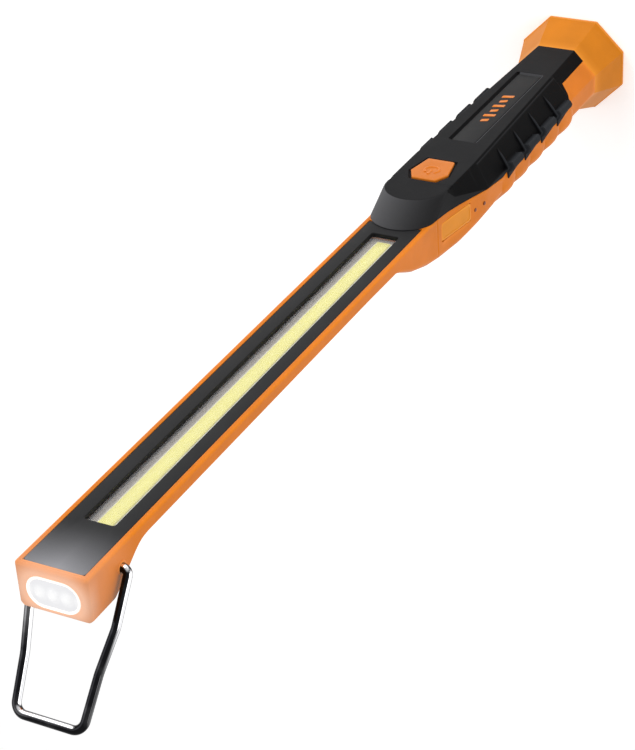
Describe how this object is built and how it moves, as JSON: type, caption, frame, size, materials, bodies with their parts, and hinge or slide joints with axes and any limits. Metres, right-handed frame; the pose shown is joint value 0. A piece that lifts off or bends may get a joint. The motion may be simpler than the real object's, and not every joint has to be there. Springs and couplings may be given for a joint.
{
  "type": "inspection work light",
  "caption": "Slim rechargeable inspection light: long lamp strip on a flat arm, end lamp, faceted grip with push button, wire hook and octagonal magnetic foot.",
  "frame": {"origin": "centre of the foot's flat end face", "axes": "+Z runs along the length from the foot to the lamp end, -Y is the side the light leaves from, X is across the width"},
  "size_m": [0.053, 0.0724, 0.4947],
  "materials": {
    "orange_shell": "satin moulded",
    "orange_cap": "satin moulded",
    "black_shell": "fine grain",
    "black_rubber": "soft grip",
    "black_face": "satin",
    "label_black": "smooth",
    "button_orange": "satin",
    "cover_orange": "soft",
    "chrome_wire": "polished",
    "steel_plain": "zinc plated",
    "magnet_steel": "nickel plated",
    "foot_rubber": "matt",
    "bush_plastic": "smooth",
    "clear_window": "clear",
    "clear_lens": "clear",
    "reflector_beige": "satin",
    "phosphor": "silicone",
    "board_white": "solder mask",
    "board_green": "solder mask",
    "chip_black": "smooth",
    "aluminium": "mill finish",
    "reflector_metal": "vacuum metallised",
    "cell_sleeve": "shrink sleeve",
    "nickel": "nickel strip",
    "socket_metal": "plated",
    "light_pipe": "clear",
    "wire_sleeve": "smooth"
  },
  "bodies": {
    "body": {"lower_housing": "orange_shell", "foot_cap": "orange_cap", "handle_shell": "black_shell", "grip_skin_left": "black_rubber", "grip_skin_right": "black_rubber", "arm_panel": "black_face", "label_plate": "label_black", "tact_switch": "steel_plain", "main_board": "board_green", "board_components": "chip_black", "charging_socket": "socket_metal", "indicator_pipes": "light_pipe", "battery_cell": "cell_sleeve", "cell_cradle": "bush_plastic", "cell_contacts": "nickel", "foot_pad": "foot_rubber", "foot_magnet": "magnet_steel", "pole_plate": "steel_plain", "magnet_screw": "steel_plain", "lamp_window": "clear_window", "strip_reflector": "reflector_beige", "phosphor_strip": "phosphor", "strip_board": "board_white", "heat_spreader": "aluminium", "end_lens": "clear_lens", "lens_gasket": "bush_plastic", "torch_reflector": "reflector_metal", "torch_board": "board_white", "torch_dies": "phosphor", "torch_wires": "wire_sleeve", "hook_bushes": "bush_plastic", "shell_screws": "steel_plain"},
    "button": {"power_button": "button_orange", "switch_plunger": "chip_black"},
    "hook": {"hook": "chrome_wire", "hook_retainers": "steel_plain"},
    "port_flap": {"port_cover": "cover_orange"}
  },
  "joints": [
    {"name": "button_press", "type": "slide", "parent": "body", "child": "button", "axis": [0, 1, 0], "range_m": [0, 0.0008], "stiffness_N_per_m": 1200},
    {"name": "hook_swing", "type": "hinge", "parent": "body", "child": "hook", "pos_m": [0, 0.0006, 0.4593], "axis": [-1, 0, 0], "range_deg": [-54.5, 122.5]},
    {"name": "cover_hinge", "type": "hinge", "parent": "body", "child": "port_flap", "pos_m": [-0.01834, 0.0004, 0.17214], "axis": [0, -1, 0], "range_deg": [0, 110]}
  ]
}
